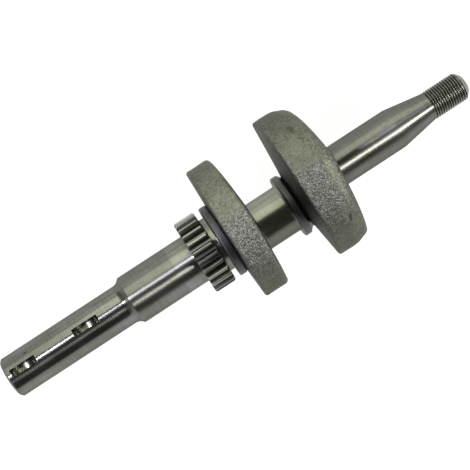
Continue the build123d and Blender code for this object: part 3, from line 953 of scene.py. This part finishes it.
# ---- Timing gear
# A 24-tooth spur gear hobbed from steel bar and pressed on its seat: turned bright on the tips and
# faces, dark in the tooth spaces, with a punched mark for timing it to the camshaft's gear.
gear_teeth, gear_module, gear_pressure, gear_phase = 24, 1.5875, radians(20), radians(-4.0)
pitch_radius = gear_teeth * gear_module / 2
tip_radius = pitch_radius + gear_module
root_radius = pitch_radius - 1.25 * gear_module
base_radius = pitch_radius * cos(gear_pressure)
flank_thinning, gear_bevel = 0.08, 0.8
bore_radius, gear_keyway_height, gear_keyway_half_width = 13.71, 15.487, 1.5975
mark_height, mark_radius, mark_depth = 15.4, 1.1, 0.8


def tooth_half_angle(r):
    """Half a tooth's angle at a radius: its value at the pitch circle less the growth of the involute, which
    is tan a - a for the pressure angle a."""
    pressure = np.arccos(np.clip(base_radius / r, -1, 1))
    at_pitch = (pi * gear_module / 2 - flank_thinning) / (2 * pitch_radius)
    return at_pitch + (tan(gear_pressure) - gear_pressure) - (np.tan(pressure) - pressure)


# One tooth as angle and radius: half a space, the root fillet, the involute and the rounded tip, mirrored
flank = np.linspace(base_radius, tip_radius - 0.06, 9)
foot, tip = tooth_half_angle(base_radius), tooth_half_angle(tip_radius)
fillet = [(foot + 0.026, root_radius), (foot + 0.012, root_radius + 0.1), (foot + 0.003, root_radius + 0.34)]
involute = np.stack([tooth_half_angle(flank), flank], -1)
half_tooth = np.vstack([fillet, involute, [(tip - 0.004, tip_radius), (tip * 0.4, tip_radius)]])
space = [(-pi / gear_teeth, root_radius), (-(foot + 0.045), root_radius)]
one_tooth = np.vstack([space, half_tooth * (-1, 1), half_tooth[::-1], [(foot + 0.045, root_radius)]])
turns = np.arange(gear_teeth)[:, None] * 2 * pi / gear_teeth
around = (turns + one_tooth[None, :, 0] + gear_phase).ravel()
outline = np.tile(one_tooth[:, 1], gear_teeth)

# The bore is a circle widened by the keyway: its half width over the sine or its height over the cosine
in_keyway = np.minimum(
    gear_keyway_height / np.maximum(-np.cos(around), 0.01),
    gear_keyway_half_width / np.maximum(np.abs(np.sin(around)), 0.01),
)
bore = np.maximum(bore_radius, np.where(np.cos(around) < 0, in_keyway, 0))

# The gear's rings: out over one face from the bore, up its bevel, across the teeth and back to the bore
level = np.linspace(0, 1, 11)[:, None]
step = np.array([0.0, 0.5, 1.0])[:, None]
inner = bore + (root_radius - 0.35 - bore) * level
climb = np.minimum(outline, tip_radius - gear_bevel + gear_bevel * step)
half_r = np.vstack([inner, climb])
from_face = np.vstack([0 * level, gear_bevel * step])
gear_r = np.vstack([half_r, half_r[::-1]])
gear_x = np.vstack([x_gear + from_face, x_ring - from_face[::-1]])
rings = turned(gear_x, gear_r, np.broadcast_to(around, gear_r.shape))

# The punched mark is a cone: its depth falls evenly with the distance from its middle
mark_y, mark_z = mark_height * sin(gear_phase), mark_height * cos(gear_phase)
from_mark = np.hypot(rings[..., 1] - mark_y, rings[..., 2] - mark_z)[: len(level)]
rings[: len(level), :, 0] += mark_depth * np.clip(1 - from_mark / mark_radius, 0, 1)
timing_gear = skin("timing_gear_dressed", rings, closed=True, crease=28)

# Hobbed steel: flanks keep an oily dark film, tips were turned bright. The hob's marks are drawn 0.7 mm
# apart across the teeth and 3.3 mm long.
gear_steel, tree, output = new_material("hobbed_gear_steel")
grain_per_metre = (300.0, 1500.0, 1500.0)
place = add_node(tree, "ShaderNodeTexCoord")
on_tip = add_node(
    tree, "ShaderNodeMapRange", {"Value": from_main_axis(tree, place), "From Min": 0.0196, "From Max": 0.0205}
)
grain_place = add_node(
    tree, "ShaderNodeMapping", {"Vector": place.outputs["Object"], "Scale": grain_per_metre}
)
grain = add_node(tree, "ShaderNodeTexNoise", {"Vector": grain_place.outputs[0], "Scale": 1.0, "Detail": 3.0})
grain_bump = add_node(
    tree, "ShaderNodeBump", {"Height": grain.outputs["Fac"], "Strength": 0.2, "Distance": 0.0002}
)
colour = add_node(
    tree,
    "ShaderNodeMix",
    {0: on_tip.outputs[0], 6: linear("#666761"), 7: linear("#82837d")},
    data_type="RGBA",
)
shader = add_node(
    tree,
    "ShaderNodeBsdfPrincipled",
    {
        "Base Color": colour.outputs[2],
        "Metallic": 1.0,
        "Roughness": 0.36,
        "Normal": grain_bump.outputs[0],
    },
)
tree.links.new(shader.outputs[0], output.inputs[0])
timing_gear.data.materials.append(gear_steel)
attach(timing_gear, "root")
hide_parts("timing_gear")

# ---- Timing gear's key
# A square of bright drawn key steel between the seat and the gear's bore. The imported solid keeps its
# shape; only its end shows, inside the bore's keyway.

# Bright drawn steel: the die's fine marks run along it, drawn 0.3 mm apart, and soften its shine
key_steel, tree, output = new_material("bright_drawn_steel")
draw_per_metre = (150.0, 3000.0, 3000.0)
place = add_node(tree, "ShaderNodeTexCoord")
draw_place = add_node(tree, "ShaderNodeMapping", {"Vector": place.outputs["Object"], "Scale": draw_per_metre})
draw_marks = add_node(
    tree, "ShaderNodeTexNoise", {"Vector": draw_place.outputs[0], "Scale": 1.0, "Detail": 2.0}
)
draw_bump = add_node(
    tree, "ShaderNodeBump", {"Height": draw_marks.outputs["Fac"], "Strength": 0.15, "Distance": 0.0001}
)
shader = add_node(
    tree,
    "ShaderNodeBsdfPrincipled",
    {
        "Base Color": linear("#8f8f8b"),
        "Metallic": 1.0,
        "Roughness": 0.3,
        "Normal": draw_bump.outputs[0],
    },
)
tree.links.new(shader.outputs[0], output.inputs[0])
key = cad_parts["timing_gear_key"]
key.data.materials.clear()
key.data.materials.append(key_steel)

# ---- Floor
# A plain white sheet under the lowest point of the webs, white to the camera and in reflections, but
# partly lit so that the shaft's shadow stays on it. Its sizes are metres.
floor_z = cad_box[0][2] - 0.0002
floor_half, glow_share, glow = 3.0, 0.8, 1.09
floor_mesh = bpy.data.meshes.new("floor")
corners = floor_half * np.array([(-1, -1), (1, -1), (1, 1), (-1, 1)])
floor_mesh.from_pydata([(x, y, floor_z) for x, y in corners.tolist()], [], [(0, 1, 2, 3)])
floor = bpy.data.objects.new("floor", floor_mesh)
bpy.context.collection.objects.link(floor)
floor_white, tree, output = new_material("floor_white")
seen = add_node(tree, "ShaderNodeLightPath")
seen_any = seen.outputs["Is Camera Ray"]
for kind in ("Is Glossy Ray", "Is Transmission Ray"):
    seen_any = add_node(
        tree, "ShaderNodeMath", {0: seen_any, 1: seen.outputs[kind]}, operation="MAXIMUM"
    ).outputs[0]
white_share = add_node(tree, "ShaderNodeMath", {0: seen_any, 1: glow_share}, operation="MULTIPLY")
lit = add_node(tree, "ShaderNodeBsdfDiffuse", {"Color": (0.9, 0.9, 0.9, 1.0)})
plain = add_node(tree, "ShaderNodeEmission", {"Color": (1.0, 1.0, 1.0, 1.0), "Strength": glow})
mixed = add_node(
    tree, "ShaderNodeMixShader", {0: white_share.outputs[0], 1: lit.outputs[0], 2: plain.outputs[0]}
)
tree.links.new(mixed.outputs[0], output.inputs[0])
floor_mesh.materials.append(floor_white)

# ---- Light
# A studio in soft light: a wide panel high on the +Y side, one lower behind it, and a short bright tube
# high beyond each end of the shaft. A dim ceiling leaves dark bands in the ground steel; the horizon, and
# all that the camera sees past the part, is white. Sizes are metres.
camera_lean = radians(9.82)
world = bpy.data.worlds.new("studio")
bpy.context.scene.world = world
world.use_nodes = True
tree = world.node_tree
tree.nodes.clear()
output = add_node(tree, "ShaderNodeOutputWorld")
direction = add_node(tree, "ShaderNodeTexCoord")
axes = add_node(tree, "ShaderNodeSeparateXYZ", {0: direction.outputs["Generated"]})
ceiling = add_node(
    tree,
    "ShaderNodeMapRange",
    {"Value": axes.outputs["Z"], "From Min": 0.05, "From Max": 0.3, "To Min": 1.0, "To Max": 0.07},
    interpolation_type="SMOOTHSTEP",
)
seen = add_node(tree, "ShaderNodeLightPath")
backdrop = add_node(
    tree, "ShaderNodeMath", {0: ceiling.outputs[0], 1: seen.outputs["Is Camera Ray"]}, operation="MAXIMUM"
)
studio = add_node(
    tree, "ShaderNodeBackground", {"Color": (1.0, 1.0, 1.0, 1.0), "Strength": backdrop.outputs[0]}
)
tree.links.new(studio.outputs[0], output.inputs[0])

for name, x, swing, distance, size, radiance, tint in (
    ("overhead", 0.35, 42.0, 0.9, (1.1, 0.6), 3.15, "#fbffee"),
    ("left_tube", -0.44, 12.4, 0.75, (0.24, 0.11), 75.0, "#f4f1ff"),
    ("right_tube", 0.66, -25.3, 0.75, (0.46, 0.12), 72.0, "#fffef8"),
    ("low_back", 0.3, 74.0, 1.0, (1.1, 0.5), 1.45, "#fdfff5"),
):
    # Each lamp is aimed at the shaft from x, turned by swing degrees about the shaft from the camera's line
    # towards +Y. Its power is radiance times pi times its area.
    tilt = radians(swing) - camera_lean
    away = Vector((0, sin(tilt), cos(tilt)))
    lamp = bpy.data.lights.new(name, "AREA")
    lamp.shape = "RECTANGLE"
    lamp.size, lamp.size_y = size
    lamp.energy = radiance * pi * size[0] * size[1]
    lamp.color = linear(tint)[:3]
    holder = bpy.data.objects.new(name, lamp)
    bpy.context.collection.objects.link(holder)
    along_shaft = Vector((1, 0, 0))
    aim = Matrix((along_shaft, away.cross(along_shaft), away)).transposed()
    holder.matrix_world = Matrix.Translation(x * along_shaft + distance * away) @ aim.to_4x4()

# ---- Camera
# It looks down on the counterweights' rims, turned a little towards the flywheel end, with the shaft
# rising to the right. Sizes are metres, but the lens and its sensor are millimetres.
camera_distance, camera_turn, camera_roll = 0.6269, radians(2.114), radians(33.13)
toward = Vector((0, -sin(camera_lean), cos(camera_lean)))
upward = Vector((0, cos(camera_lean), sin(camera_lean)))
look = Vector((1, 0, 0)) * sin(camera_turn) - toward * cos(camera_turn)
side = look.cross(upward)
right = side * cos(camera_roll) - upward * sin(camera_roll)
above = side * sin(camera_roll) + upward * cos(camera_roll)
stand = Vector((0.0197, 0, 0)) + toward * camera_distance - upward * 0.00109 + side * 0.00047
camera_data = bpy.data.cameras.new("camera")
camera_data.sensor_width = 36.0
camera_data.lens = 93.5004
camera_data.clip_start = 0.05
camera_data.clip_end = 20.0
camera = bpy.data.objects.new("camera", camera_data)
bpy.context.collection.objects.link(camera)
camera.matrix_world = Matrix.Translation(stand) @ Matrix((right, above, -look)).transposed().to_4x4()
bpy.context.scene.camera = camera

bpy.context.scene.view_settings.view_transform = "Standard"
